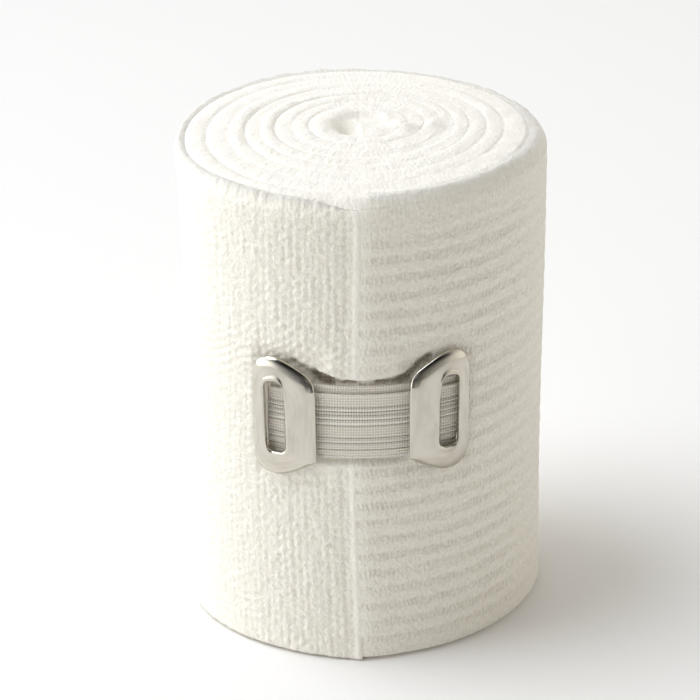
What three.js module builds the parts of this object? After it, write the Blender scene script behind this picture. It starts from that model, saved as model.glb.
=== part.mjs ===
// Rolled elastic bandage standing on its end, closed by a clip of two pressed metal
// plates joined by a doubled elastic strip.
// Millimetres. +Z is up, the loose end and the clip face -Y, the origin is on the
// roll's axis at the surface it stands on.
// A bearing is an angle in degrees seen from above: 0 at the front, 90 at the right.

import * as THREE from "three";

const { clamp, degToRad, lerp, smoothstep } = THREE.MathUtils;

// Driving dimensions of the roll
const BANDAGE_WIDTH = 75;
const ROLL_RADIUS = 27.85;
const LEAN = { shift: 1.0, top: 62 };
const WAIST = 0.4;
const CORE_RISE = 1.6;
const RIM_WAVE = { waves: 2, height: 0.3, crest: 45, from: 60 };
const RIM_FLARE = { bearing: -100, halfWidth: 18, reach: 6, height: 0.6, edge: 14 };
const TOP_SHOULDER = 1.0;
const FOOT_SHOULDER = 0.6;
const FOOT_GROOVE = 0.9;
const CORE = { depth: 2.0, dimple: 0.3, floorShare: 0.55 };

// The last turn and its loose end
const SEAM_STEP = 0.5;
const SEAM_RIDGE = { height: 0.55, width: 5.5 };
const SEAM_TIP = { height: 0.5, reach: 5 };
const SEAM = [
  { z: 0, bearing: -0.8 },
  { z: 33, bearing: -2.2 },
  { z: 47, bearing: -1.4 },
  { z: BANDAGE_WIDTH, bearing: -0.3 },
];

// Woven ribs that run round the roll
const RIB = { pitch: 2.83, first: 3.5, count: 24, relief: 0.11 };
const RIB_FADE = { from: 200, to: 290, least: 0.35 };

// Unevenness of the roll's plan: waves round it, their height and the bearing of a crest
const PLAN_WAVES = [
  { waves: 1, height: 0.4, crest: -99 },
  { waves: 2, height: 0.33, crest: 24 },
  { waves: 3, height: 0.38, crest: -40 },
  { waves: 4, height: 0.32, crest: 12 },
];

// Inner face of each turn from the core out: its radius at four bearings, and how deep
// the groove beside it is in general and on the left
const TURNS = [
  { front: 2.6, right: 3.4, rear: 4.0, left: 4.6, groove: 1.2, leftGroove: 1.5 },
  { front: 6.4, right: 6.6, rear: 6.4, left: 8.1, groove: 1.0, leftGroove: 1.5 },
  { front: 9.0, right: 9.2, rear: 9.0, left: 10.5, groove: 0.9, leftGroove: 0.6 },
  { front: 11.8, right: 11.6, rear: 12.0, left: 13.2, groove: 0.8, leftGroove: 1.4 },
  { front: 14.2, right: 13.6, rear: 14.0, left: 15.3, groove: 0.8, leftGroove: 0.6 },
  { front: 16.6, right: 15.8, rear: 16.3, left: 17.6, groove: 0.8, leftGroove: 1.5 },
  { front: 19.2, right: 18.4, rear: 18.8, left: 20.0, groove: 0.8, leftGroove: 0.6 },
  { front: 22.0, right: 21.0, rear: 21.9, left: 23.4, groove: 0.9, leftGroove: 1.6 },
  { front: 25.1, right: 24.4, rear: 25.2, left: 26.6, groove: 1.0, leftGroove: 0.9 },
];
const LAST_GROOVE_FADE = { from: 280, to: 330 };

// Cloth drawn in under the plates, and swelling beside the strip where the depth is negative
const DENTS = [
  { bearing: -24.5, halfWidth: 9.5, z: 40.2, halfHeight: 9.4, depth: 0.45, edge: 2.2 },
  { bearing: 22.5, halfWidth: 9.5, z: 40.7, halfHeight: 9.4, depth: 0.45, edge: 2.2 },
  { bearing: -1, halfWidth: 9, z: 50.2, halfHeight: 0.6, depth: -0.3, edge: 1.8 },
  { bearing: -1, halfWidth: 9, z: 31.0, halfHeight: 0.6, depth: -0.2, edge: 1.8 },
];

// Doubled elastic strip: two layers, the back one standing a little higher
const ELASTIC = {
  foot: 34.2, frontTop: 44.5, backTop: 45.7, layer: 0.5, seat: 0.35,
  from: -31.2, to: 29.4, steps: 24, leftRadius: 27.25, rightRadius: 26.85,
};

// Band of cloth that the taut strip presses in, and how far it reaches round the strip
const PRESSED = { z: 40.5, halfHeight: 7.2, bearing: -1, halfWidth: 33, edge: 1.3 };

// Pressed plate, drawn with its straight inner side at the left
const PLATE = { width: 10.3, sheet: 0.5, crown: 1.5, lip: 0.22, bow: 46, samples: 40 };
const SLOT = { left: 4.8, right: 7.9, foot: -4.6, top: 6.8, corner: 1.1 };

// The plate's outline from its outer side round by the top: each row is the end of one
// piece and the corner that it bends towards
const PLATE_OUTLINE = [
  { x: 10.3, y: 6.4, bendX: 10.3, bendY: 3 },
  { x: 7.0, y: 10.4, bendX: 10.3, bendY: 10.4 },
  { x: 2.2, y: 8.5, bendX: 5.4, bendY: 10.4 },
  { x: 0, y: 5.0, bendX: 0, bendY: 7.3 },
  { x: 0, y: -5.6, bendX: 0, bendY: 0 },
  { x: 6.2, y: -8.8, bendX: 3.2, bendY: -8 },
  { x: 10.3, y: -5.2, bendX: 10.3, bendY: -9.1 },
];

// Section of the pressed sheet from the slot to the rim: share of the way, height of
// the outer face below the crown, and how much of the rim's drop it takes
const PLATE_SECTION = [
  { share: 0, below: 0.05, drop: 0, under: false },
  { share: 0.14, below: -PLATE.lip, drop: 0, under: false },
  { share: 0.34, below: 0.04, drop: 0, under: false },
  { share: 0.66, below: 0.08, drop: 0.08, under: false },
  { share: 0.88, below: 0.2, drop: 0.45, under: false },
  { share: 1, below: 0.3, drop: 1, under: false },
  { share: 0.93, below: 0.28, drop: 1, under: true },
  { share: 0.64, below: 0.08, drop: 0.12, under: true },
  { share: 0.12, below: 0.04, drop: 0, under: true },
];

// The rim comes down to the cloth but stays up along the side where the strip goes in
const RIM_DROP = { cloth: 0.72, strip: 0.1, sideFrom: 0.2, sideTo: 2.4, y: 0.2, halfHeight: 5.6, edge: 1.8 };
const PLATE_SEATS = [
  { name: "clip_plate_left", bearing: -24.9, turn: -1, z: 39.3, tilt: 0, lift: 0.1, mirrored: true },
  { name: "clip_plate_right", bearing: 22.7, turn: 5.5, z: 39.8, tilt: -1.5, lift: 0.42, mirrored: false },
];

// Columns round one turn, closer at the front and beside the loose end
const SEAM_START = [0, 2.2];
const SEAM_END = [357.2, 358.8, 360];
const SPREAD = { from: 5.2, to: 354.6, steps: 45, closeness: 0.4 };

// Rows across one layer at the roll's top and foot, and how square a layer's crest is
const TOP_ROWS = [0.25, 0.5, 0.75];
const FOOT_ROWS = [0.3, 0.7];
const FOOT_SPARE = 1.4;
const CREST_POWER = 0.8;

const COLUMNS = columnAngles();
const PER_TURN = COLUMNS.length - 1;
const WALL_ROWS = wallRows();

// Columns stand closer together at the front, where the clip presses the cloth
function columnAngles() {
  const spread = Array.from({ length: SPREAD.steps + 1 }, (_, i) => {
    const share = i / SPREAD.steps;
    const shifted = share - (SPREAD.closeness * Math.sin(2 * Math.PI * share)) / (2 * Math.PI);
    return lerp(SPREAD.from, SPREAD.to, shifted);
  });
  return [...SEAM_START, ...spread, ...SEAM_END];
}

function wallRows() {
  const ribs = Array.from({ length: 2 * RIB.count + 1 }, (_, i) => RIB.first + (i * RIB.pitch) / 2);
  return [FOOT_SHOULDER, FOOT_SHOULDER + FOOT_SPARE, ...ribs, BANDAGE_WIDTH - TOP_SHOULDER];
}

function place(radius, bearing, z) {
  const angle = degToRad(bearing);
  return new THREE.Vector3(radius * Math.sin(angle) + leanShift(z), -radius * Math.cos(angle), z);
}

function leanShift(z) {
  return LEAN.shift * (smoothstep(z, 0, LEAN.top) - 0.5);
}

// Value of a smooth curve through evenly spaced knots
function throughKnots(knots, position) {
  const i = clamp(Math.floor(position), 0, knots.length - 2);
  const t = position - i;
  const before = knots[Math.max(i - 1, 0)];
  const after = knots[Math.min(i + 2, knots.length - 1)];
  const slopeIn = (knots[i + 1] - before) / 2;
  const slopeOut = (after - knots[i]) / 2;
  const t2 = t * t;
  const t3 = t2 * t;
  return (2 * t3 - 3 * t2 + 1) * knots[i] + (t3 - 2 * t2 + t) * slopeIn
    + (3 * t2 - 2 * t3) * knots[i + 1] + (t3 - t2) * slopeOut;
}

function seamBearing(z) {
  const above = Math.max(1, SEAM.findIndex((row) => row.z >= z));
  const [low, high] = [SEAM[above - 1], SEAM[above]];
  return lerp(low.bearing, high.bearing, smoothstep(z, low.z, high.z));
}

function planRadius(bearing) {
  return PLAN_WAVES.reduce(
    (sum, wave) => sum + wave.height * Math.cos(degToRad(wave.waves * (bearing - wave.crest))),
    ROLL_RADIUS,
  );
}

// 1 inside a soft-edged span, falling to 0 over the edge's width
function softSpan(distance, half, edge) {
  return 1 - smoothstep(Math.abs(distance), half, half + edge);
}

// Bearing brought to between -180 and 180
function halfTurn(bearing) {
  return ((bearing + 900) % 360) - 180;
}

// 1 within a soft-edged patch of the wall, falling to 0 over the edge's width
function softPatch(patch, bearing, z) {
  const degree = degToRad(ROLL_RADIUS);
  const across = (halfTurn(bearing) - patch.bearing) * degree;
  const alongWall = softSpan(across, patch.halfWidth * degree, patch.edge);
  return alongWall * softSpan(z - patch.z, patch.halfHeight, patch.edge);
}

function dentDepth(bearing, z) {
  return DENTS.reduce((sum, dent) => sum + dent.depth * softPatch(dent, bearing, z), 0);
}

function elasticBack(bearing) {
  const { from, to, leftRadius, rightRadius } = ELASTIC;
  return lerp(leftRadius, rightRadius, clamp((halfTurn(bearing) - from) / (to - from), 0, 1));
}

// The loose end's ridge: turned is the angle gone round the last turn
function ridgeHeight(turned, z) {
  const share = (360 - turned) / SEAM_RIDGE.width;
  if (share >= 1) return 0;
  const tip = SEAM_TIP.height * (1 - smoothstep(z, 0, SEAM_TIP.reach));
  return (SEAM_RIDGE.height + tip) * Math.sin(Math.PI * (0.25 + 0.75 * share));
}

function ribRelief(turned, z) {
  const strength = lerp(1, RIB_FADE.least, smoothstep(turned, RIB_FADE.from, RIB_FADE.to));
  const top = RIB.first + RIB.count * RIB.pitch;
  if (z < RIB.first || z > top) return -RIB.relief * strength;
  return -RIB.relief * strength * Math.cos((2 * Math.PI * (z - RIB.first)) / RIB.pitch);
}

// The wall's radius as it would be with no clip on it
function openWall(bearing, turned, z) {
  const waist = WAIST * Math.sin((Math.PI * z) / BANDAGE_WIDTH);
  const aside = softSpan(halfTurn(bearing) - RIM_FLARE.bearing, RIM_FLARE.halfWidth, RIM_FLARE.edge);
  const flare = RIM_FLARE.height * aside * smoothstep(z, BANDAGE_WIDTH - RIM_FLARE.reach, BANDAGE_WIDTH);
  return planRadius(bearing) + SEAM_STEP * (turned / 360 - 0.5) - waist + flare;
}

function wallRadius(bearing, turned, z) {
  const free = openWall(bearing, turned, z) - dentDepth(bearing, z)
    + ridgeHeight(turned, z) + ribRelief(turned, z);
  return lerp(free, elasticBack(bearing) - ELASTIC.seat, softPatch(PRESSED, bearing, z));
}

// Angle gone round the last turn, from a bearing at some height
function turnedAt(bearing, z) {
  const past = bearing - seamBearing(z);
  return past > 0 ? past : past + 360;
}

function wallPoint(turned, z) {
  const bearing = seamBearing(z) + turned - 360;
  const raised = z + rimRise(bearing) * smoothstep(z, RIM_WAVE.from, BANDAGE_WIDTH);
  return place(wallRadius(bearing, turned, z), bearing, z).setZ(raised);
}

function rimRise(bearing) {
  return RIM_WAVE.height * Math.cos(degToRad(RIM_WAVE.waves * (bearing - RIM_WAVE.crest)));
}

function topLevel(radius, bearing) {
  const share = Math.min(1, radius / ROLL_RADIUS) ** 2;
  return BANDAGE_WIDTH + CORE_RISE * (1 - share) + rimRise(bearing) * share;
}

// Radius and depth of the spiral groove after a number of columns from the core
function grooveKnots() {
  const radii = TURNS.flatMap((turn) => [turn.front, turn.right, turn.rear, turn.left]);
  const depths = TURNS.flatMap((turn) => [turn.groove, turn.groove, turn.groove, turn.leftGroove]);
  const outside = wallPoint(0, BANDAGE_WIDTH - TOP_SHOULDER);
  return { radii: [...radii, Math.hypot(outside.x, outside.y)], depths: [...depths, TOP_SHOULDER] };
}

function spiralGroove() {
  const knots = grooveKnots();
  const count = TURNS.length * PER_TURN;
  return Array.from({ length: count }, (_, step) => {
    const turn = Math.floor(step / PER_TURN);
    const turned = COLUMNS[step % PER_TURN];
    const position = 4 * (turn + turned / 360);
    const isLast = turn === TURNS.length - 1;
    const fade = isLast ? 1 - smoothstep(turned, LAST_GROOVE_FADE.from, LAST_GROOVE_FADE.to) : 1;
    return {
      radius: throughKnots(knots.radii, position),
      depth: throughKnots(knots.depths, position) * fade,
      turned,
    };
  });
}

// Collects points and triangles of one closed body
class Skin {
  constructor() {
    this.points = [];
    this.triangles = [];
  }

  add(point) {
    return this.points.push(point) - 1;
  }

  triangle(a, b, c) {
    this.triangles.push(a, b, c);
  }

  quad(a, b, c, d) {
    this.triangle(a, b, c);
    this.triangle(a, c, d);
  }

  fan(centre, line) {
    for (let i = 0; i + 1 < line.length; i += 1) this.triangle(centre, line[i], line[i + 1]);
  }

  strip(inner, outer) {
    for (let i = 0; i + 1 < inner.length; i += 1) {
      this.quad(inner[i], outer[i], outer[i + 1], inner[i + 1]);
    }
  }

  geometry() {
    const geometry = new THREE.BufferGeometry();
    const flat = this.points.flatMap((point) => point.toArray());
    geometry.setAttribute("position", new THREE.Float32BufferAttribute(flat, 3));
    geometry.setIndex(this.triangles);
    geometry.computeVertexNormals();
    return geometry;
  }
}

// One end of the roll: the groove line from the core to the wall, and the rows between
function rollEnd(skin, groove, wallEdge, end) {
  const seam = seamBearing(end.seamZ);
  const grooves = groove.map((at) => skin.add(end.groovePoint(at, seam + at.turned)));
  const line = [...grooves, ...wallEdge];
  const last = TURNS.length * PER_TURN;
  const rows = end.rows.map(() => []);
  for (let n = 0; n <= last; n += 1) {
    const inner = skin.points[line[n]];
    const outer = skin.points[line[n + PER_TURN]];
    end.rows.forEach((share, row) => rows[row].push(skin.add(end.crestPoint(inner, outer, share))));
  }
  const lines = [line.slice(0, last + 1), ...rows, line.slice(PER_TURN, PER_TURN + last + 1)];
  for (let i = 0; i + 1 < lines.length; i += 1) end.strip(lines[i], lines[i + 1]);
  closeCore(skin, line.slice(0, PER_TURN + 1), rows.map((row) => row[0]), end);
  return lines.map((row) => row[last]);
}

// Hollow at the core, and the cut end of the innermost turn
function closeCore(skin, loop, endRow, end) {
  const ring = loop.slice(0, PER_TURN).map((index) => {
    const point = skin.points[index];
    return skin.add(end.corePoint(point.x * CORE.floorShare, point.y * CORE.floorShare));
  });
  ring.push(ring[0]);
  end.strip(ring, loop);
  end.fan(skin.add(end.coreCentre()), ring);
  end.fan(loop[0], [ring[0], loop[PER_TURN], ...endRow.reverse()]);
}

function topEnd(skin) {
  const crest = (share) => Math.sin(Math.PI * share) ** CREST_POWER;
  const floor = BANDAGE_WIDTH + CORE_RISE - CORE.depth;
  return {
    rows: TOP_ROWS,
    seamZ: BANDAGE_WIDTH,
    groovePoint: (at, bearing) =>
      place(at.radius, bearing, BANDAGE_WIDTH).setZ(topLevel(at.radius, bearing) - at.depth),
    crestPoint: (inner, outer, share) => {
      const point = inner.clone().lerp(outer, share);
      const bearing = THREE.MathUtils.radToDeg(Math.atan2(point.x, -point.y));
      const level = topLevel(Math.hypot(point.x, point.y), bearing);
      return point.setZ(lerp(point.z, level, crest(share)));
    },
    corePoint: (x, y) => new THREE.Vector3(x, y, floor),
    coreCentre: () => new THREE.Vector3(0, 0, floor - CORE.dimple),
    strip: (inner, outer) => skin.strip(inner, outer),
    fan: (start, line) => skin.fan(start, line),
  };
}

function footEnd(skin) {
  return {
    rows: FOOT_ROWS,
    seamZ: 0,
    groovePoint: (at, bearing) => {
      const depth = Math.min(1, at.depth) * FOOT_GROOVE;
      return place(at.radius, bearing, 0).setZ(depth);
    },
    crestPoint: (inner, outer, share) => inner.clone().lerp(outer, share).setZ(0),
    corePoint: (x, y) => new THREE.Vector3(x, y, 0),
    coreCentre: () => new THREE.Vector3(0, 0, 0),
    strip: (inner, outer) => skin.strip(outer, inner),
    fan: (start, line) => skin.fan(start, [...line].reverse()),
  };
}

function bandageRoll() {
  const skin = new Skin();
  const wall = WALL_ROWS.map((z) => COLUMNS.map((turned) => skin.add(wallPoint(turned, z))));
  for (let row = 0; row + 1 < wall.length; row += 1) skin.strip(wall[row + 1], wall[row]);
  const groove = spiralGroove();
  const topEdge = wall[wall.length - 1];
  const topCut = rollEnd(skin, groove, topEdge, topEnd(skin));
  const footCut = rollEnd(skin, groove, wall[0], footEnd(skin));
  closeSeam(skin, wall, topCut, footCut);
  return skin.geometry();
}

// Cut face of the loose end, from the turn below it out to its own ridge
function closeSeam(skin, wall, topCut, footCut) {
  const below = wall.map((row) => row[0]);
  const ridge = wall.map((row) => row[PER_TURN]);
  skin.strip(ridge, below);
  skin.fan(topCut[0], topCut.slice(1));
  skin.fan(footCut[0], footCut.slice(1).reverse());
}

// Closed body swept through sections of the same number of points
function sweptBody(sections, isRing) {
  const skin = new Skin();
  const lines = sections.map((section) => section.map((point) => skin.add(point)));
  const closed = lines.map((line) => [...line, line[0]]);
  const count = isRing ? closed.length : closed.length - 1;
  for (let i = 0; i < count; i += 1) skin.strip(closed[(i + 1) % closed.length], closed[i]);
  if (!isRing) {
    capSection(skin, lines[0], false);
    capSection(skin, lines[lines.length - 1], true);
  }
  return skin.geometry();
}

// The strip's section is an L: foot, back layer's top, then the front layer's step
function capSection(skin, line, isFar) {
  const [backFoot, backTop, middleTop, middle, frontTop, frontFoot] = line;
  const faces = [
    [backFoot, backTop, middleTop],
    [backFoot, middleTop, middle],
    [backFoot, middle, frontFoot],
    [middle, frontTop, frontFoot],
  ];
  faces.forEach(([a, b, c]) => (isFar ? skin.triangle(a, b, c) : skin.triangle(a, c, b)));
}

function clipElastic() {
  const { foot, frontTop, backTop, layer } = ELASTIC;
  const profile = [
    [0, foot], [0, backTop], [layer, backTop], [layer, frontTop], [2 * layer, frontTop], [2 * layer, foot],
  ];
  const sections = Array.from({ length: ELASTIC.steps + 1 }, (_, i) => {
    const bearing = lerp(ELASTIC.from, ELASTIC.to, i / ELASTIC.steps);
    return profile.map(([out, z]) => place(elasticBack(bearing) + out, bearing, z));
  });
  return sweptBody(sections, false);
}

function plateOutline() {
  const shape = new THREE.Shape();
  const last = PLATE_OUTLINE[PLATE_OUTLINE.length - 1];
  shape.moveTo(last.x, last.y);
  PLATE_OUTLINE.forEach(({ x, y, bendX, bendY }) => shape.quadraticCurveTo(bendX, bendY, x, y));
  return shape;
}

function slotOutline() {
  const { left, right, foot, top, corner } = SLOT;
  const shape = new THREE.Shape();
  shape.moveTo(right, 0);
  shape.lineTo(right, top - corner);
  shape.absarc(right - corner, top - corner, corner, 0, Math.PI / 2);
  shape.absarc(left + corner, top - corner, corner, Math.PI / 2, Math.PI);
  shape.absarc(left + corner, foot + corner, corner, Math.PI, 1.5 * Math.PI);
  shape.absarc(right - corner, foot + corner, corner, 1.5 * Math.PI, 2 * Math.PI);
  shape.closePath();
  return shape;
}

function rimDrop(point) {
  const openSide = 1 - smoothstep(point.x, RIM_DROP.sideFrom, RIM_DROP.sideTo);
  const besideStrip = softSpan(point.y - RIM_DROP.y, RIM_DROP.halfHeight, RIM_DROP.edge);
  return lerp(RIM_DROP.cloth, RIM_DROP.strip, openSide * besideStrip);
}

function pressedPlate(mirrored) {
  const rim = plateOutline().getSpacedPoints(PLATE.samples).slice(0, PLATE.samples);
  const slot = slotOutline().getSpacedPoints(PLATE.samples).slice(0, PLATE.samples);
  const middle = PLATE.width / 2;
  const sections = rim.map((edge, i) =>
    PLATE_SECTION.map(({ share, below, drop, under }) => {
      const flat = slot[i].clone().lerp(edge, share);
      const bend = (flat.x - middle) ** 2 / (2 * PLATE.bow);
      const height = PLATE.crown - below - bend - drop * rimDrop(edge) - (under ? PLATE.sheet : 0);
      return new THREE.Vector3((flat.x - middle) * (mirrored ? -1 : 1), flat.y, height);
    }),
  );
  return sweptBody(mirrored ? sections.reverse() : sections, true);
}

function material(name, color, roughness, metalness) {
  return new THREE.MeshStandardMaterial({ name, color, roughness, metalness });
}

function namedMesh(name, geometry, look) {
  const mesh = new THREE.Mesh(geometry, look);
  mesh.name = name;
  return mesh;
}

function seatedPlate(seat, look) {
  const plate = namedMesh(seat.name, pressedPlate(seat.mirrored), look);
  const spin = degToRad(seat.turn * (seat.mirrored ? -1 : 1));
  plate.rotation.set(Math.PI / 2, spin, degToRad(seat.tilt));
  const radius = openWall(seat.bearing, turnedAt(seat.bearing, seat.z), seat.z);
  plate.position.set(0, -radius - seat.lift, seat.z);
  const turntable = new THREE.Group();
  turntable.rotation.z = degToRad(seat.bearing);
  turntable.add(plate);
  return turntable;
}

const COTTON = material("bandage_cotton", 0xf3f0e8, 0.95, 0);
const WEBBING = material("clip_elastic", 0xdcdad4, 0.85, 0);
const NICKEL = material("clip_metal", 0xc9c5bb, 0.25, 1);

const group = new THREE.Group();
group.add(namedMesh("bandage_roll", bandageRoll(), COTTON));
group.add(namedMesh("clip_elastic", clipElastic(), WEBBING));
PLATE_SEATS.forEach((seat) => group.add(seatedPlate(seat, NICKEL)));

export default group;
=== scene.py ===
"""Looks of a rolled elastic bandage with its two-plate clip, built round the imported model.

Shapes are worked out in millimetres and written to meshes in metres. A bearing is an angle
in degrees seen from above: 0 at the front (-Y), 90 at the right (+X). "turned" is the angle
gone round the last turn of cloth, from 0 under the loose end to 360 at the loose end.
"""

import math

import bpy
import numpy as np
from mathutils import Matrix, Vector

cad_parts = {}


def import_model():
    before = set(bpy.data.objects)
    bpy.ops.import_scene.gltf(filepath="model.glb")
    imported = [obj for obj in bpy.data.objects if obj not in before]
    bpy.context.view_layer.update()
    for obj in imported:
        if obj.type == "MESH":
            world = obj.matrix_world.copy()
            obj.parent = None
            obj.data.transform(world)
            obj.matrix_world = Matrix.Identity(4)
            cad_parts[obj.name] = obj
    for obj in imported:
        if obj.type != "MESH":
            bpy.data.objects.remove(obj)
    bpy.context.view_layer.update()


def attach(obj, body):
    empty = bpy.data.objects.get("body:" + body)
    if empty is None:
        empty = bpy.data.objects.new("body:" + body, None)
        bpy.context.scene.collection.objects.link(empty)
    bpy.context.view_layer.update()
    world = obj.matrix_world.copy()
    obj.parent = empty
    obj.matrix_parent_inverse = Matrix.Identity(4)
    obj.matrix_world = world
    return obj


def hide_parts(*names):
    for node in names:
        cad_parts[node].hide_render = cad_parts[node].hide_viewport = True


MM = 0.001

# Roll
BANDAGE_WIDTH = 75
ROLL_RADIUS = 27.85
LEAN = {"shift": 1.0, "top": 62}
WAIST = 0.4
CORE_RISE = 1.6
RIM_WAVE = {"waves": 2, "height": 0.3, "crest": 45, "start": 60}
RIM_FLARE = {"bearing": -100, "half_width": 18, "reach": 6, "height": 0.6, "edge": 14}
TOP_SHOULDER = 1.3
RIM_ROUND = {"reach": 2.6, "depth": 1.3}
FOOT_SHOULDER = 0.6
FOOT_GROOVE = {"depth": 0.9, "across": 2}
CORE = {
    "depth": 0.75, "rings": [0.85, 0.68, 0.5, 0.32, 0.15],
    "crumple": 0.16, "spot": 1.1, "offset": 40,
}

# The last turn and its loose end
SEAM_STEP = 0.5
SEAM_RIDGE = {"height": 0.17, "width": 2.6, "start": 0.05, "skew": 0.8}
SEAM_TIP = {"height": 0.25, "reach": 5}
SEAM_SWELL = {"height": 0.56, "reach": 17}
# The loose end's line, by height and bearing
SEAM = [(0, -1.4), (33, -3.1), (47, -2.3), (BANDAGE_WIDTH, -1.2)]

# Woven rows that run round the roll, and how they fade towards the relaxed cloth at the left
ROWS = {"pitch": 2.83, "first": 3.5, "count": 24, "relief": 0.035}
ROWS_FADE = {"start": 200, "end": 290, "least": 0.3}

PLAN_WAVES = [
    {"waves": 1, "height": 0.40, "crest": -99},
    {"waves": 2, "height": 0.33, "crest": 24},
    {"waves": 3, "height": 0.38, "crest": -40},
    {"waves": 4, "height": 0.32, "crest": 12},
]

# Inner face of each turn from the core out: radius and groove at the front, right, rear and left.
# At the top a groove is cut to GROOVE_SHARE of its value here
TURNS = [
    {"radius": (2.6, 3.4, 4.0, 4.6), "groove": (0.5, 0.7, 0.7, 1.0)},
    {"radius": (6.4, 6.6, 6.4, 8.1), "groove": (0.6, 0.7, 0.4, 1.3)},
    {"radius": (9.0, 9.2, 9.0, 10.5), "groove": (0.25, 0.9, 0.25, 0.2)},
    {"radius": (11.8, 11.6, 12.0, 13.2), "groove": (0.3, 0.5, 0.7, 1.2)},
    {"radius": (14.2, 13.6, 14.0, 15.3), "groove": (0.2, 0.8, 0.2, 0.2)},
    {"radius": (16.6, 15.8, 16.3, 17.6), "groove": (0.35, 0.4, 0.7, 1.2)},
    {"radius": (19.2, 18.4, 18.8, 20.0), "groove": (0.2, 0.9, 0.3, 0.25)},
    {"radius": (22.0, 21.0, 21.9, 23.4), "groove": (0.4, 1.0, 0.8, 1.2)},
    {"radius": (25.1, 24.4, 25.2, 26.6), "groove": (0.8, 1.1, 0.5, 1.0)},
]
GROOVE_SHARE = 0.2

# Before the loose end the last groove runs out, moves inward and back, and ends at the wall's edge
LAST_GROOVE_FADE = {"start": 330, "end": 348}
LAST_GROOVE_TAIL = {"inset": 1.1, "start": 285, "full": 325, "out": 345, "down": 336}

# Lumps and hollows of the folded core: x and y, their reach, and height
MOUNDS = [
    (10.8, -1.8, 2.6, 2.6, 0.5),
    (6.3, -2.6, 2.6, 3.2, 0.75),
    (-6.2, -2.0, 2.6, 3.4, 0.3),
    (2.6, 0.6, 2.4, 2.4, 0.35),
    (-1.7, -0.9, 2.3, 3.4, -1.3),
    (-2.2, -0.8, 1.2, 2.2, -0.8),
]

# Cloth drawn in under the plates, and swelling beside the strip where the depth is negative
DENTS = [
    {"bearing": -24.5, "half_width": 9.5, "z": 40.2, "half_height": 9.4, "depth": 0.45, "edge": 2.2},
    {"bearing": 22.5, "half_width": 9.5, "z": 40.7, "half_height": 9.4, "depth": 0.45, "edge": 2.2},
    {"bearing": -1, "half_width": 9, "z": 50.2, "half_height": 0.6, "depth": -0.3, "edge": 1.8},
    {"bearing": -1, "half_width": 9, "z": 31.0, "half_height": 0.6, "depth": -0.2, "edge": 1.8},
]

# Elastic strip of two layers, and the band of cloth that it presses in
ELASTIC = {
    "foot": 34.2, "front_top": 44.5, "back_top": 45.7, "layer": 0.5, "seat": 0.35,
    "start": -31.2, "end": 29.4, "left_radius": 27.25, "right_radius": 26.85, "gap": 0.02,
}
PRESSED = {"z": 40.0, "half_height": 6.2, "bearing": -1, "half_width": 33, "edge": 0.9}
PRESSED_FLARE = {"height": 0.8, "bearing": 14}
# The loose end lies this much over the cloth below it, and the band without crinkles lies this
# much lower than the pressed one
PRESSED_LAP = 0.04
COVERED = 1.2

# Folds of the cloth that run in under the strip and the plates, as points of bearing and height; "dark"
# is the strength of the painted shade, a dark brown, inside the fold
FOLDS = [
    {"line": [(10.5, 46.1), (13.0, 46.4), (14.8, 47.4), (17.3, 48.5), (20, 49.2)],
     "depth": 0.7, "half": 0.15, "edge": 1.15, "dark": 0.85},
    {"line": [(-11.5, 46.1), (-14.6, 46.4), (-16.8, 47.2)],
     "depth": 0.85, "half": 0.25, "edge": 1.25, "dark": 0.95},
    {"line": [(-16.8, 47.2), (-19.5, 48.1), (-24, 48.9)],
     "depth": 0.5, "half": 0.1, "edge": 0.9, "dark": 0.65},
    {"line": [(-13, 46.2), (-7, 45.95), (-3.5, 45.9)],
     "depth": 0.5, "half": 0.08, "edge": 0.6, "dark": 0.75},
    {"line": [(3, 45.9), (7, 45.95), (12, 46.2)],
     "depth": 0.5, "half": 0.08, "edge": 0.6, "dark": 0.75},
]

# Pressed plate, drawn with its straight inner side at the left
PLATE = {"width": 10.3, "crown": 1.5, "bow": 46, "samples": 240, "bend_points": 24, "map": 40}
SLOT = {"left": 4.8, "right": 7.9, "foot": -4.6, "top": 6.8, "corner": 1.1, "corner_points": 13}
# The outline's curves, each as its end and its bend
PLATE_OUTLINE = [
    ((10.3, 6.4), (10.3, 3)),
    ((7.0, 10.4), (10.3, 10.4)),
    ((2.2, 8.5), (5.4, 10.4)),
    ((0, 5.0), (0, 7.3)),
    ((0, -5.6), (0, 0)),
    ((6.2, -8.8), (3.2, -8)),
    ((10.3, -5.2), (10.3, -9.1)),
]
# Section from the slot to the rim and back under it: share of the way, depth below the crown,
# share of the rim's drop, and depth under the upper face
PLATE_SECTION = [
    (0, 0.30, 0, 0),
    (0.02, 0.02, 0, 0),
    (0.08, -0.19, 0, 0),
    (0.15, -0.22, 0, 0),
    (0.24, -0.10, 0, 0),
    (0.34, 0.03, 0, 0),
    (0.50, 0.05, 0.02, 0),
    (0.66, 0.08, 0.08, 0),
    (0.80, 0.14, 0.24, 0),
    (0.90, 0.21, 0.50, 0),
    (0.97, 0.27, 0.82, 0),
    (1, 0.34, 1, 0.06),
    (0.98, 0.30, 1, 0.30),
    (0.93, 0.28, 1, 0.5),
    (0.64, 0.08, 0.12, 0.5),
    (0.12, 0.04, 0, 0.5),
    (0.02, 0.10, 0, 0.42),
]
RIM_DROP = {
    "cloth": 0.72, "strip": 0.1, "side_start": 0.2, "side_end": 2.4,
    "y": 0.2, "half_height": 5.6, "edge": 1.8,
}
PLATE_SEATS = [
    {"name": "nickel_plate_left", "node": "clip_plate_left", "bearing": -24.9, "turn": -1,
     "z": 39.3, "tilt": 0, "lift": 0.1, "mirrored": True},
    {"name": "nickel_plate_right", "node": "clip_plate_right", "bearing": 22.7, "turn": 5.5,
     "z": 39.8, "tilt": -1.5, "lift": 0.42, "mirrored": False},
]

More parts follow.
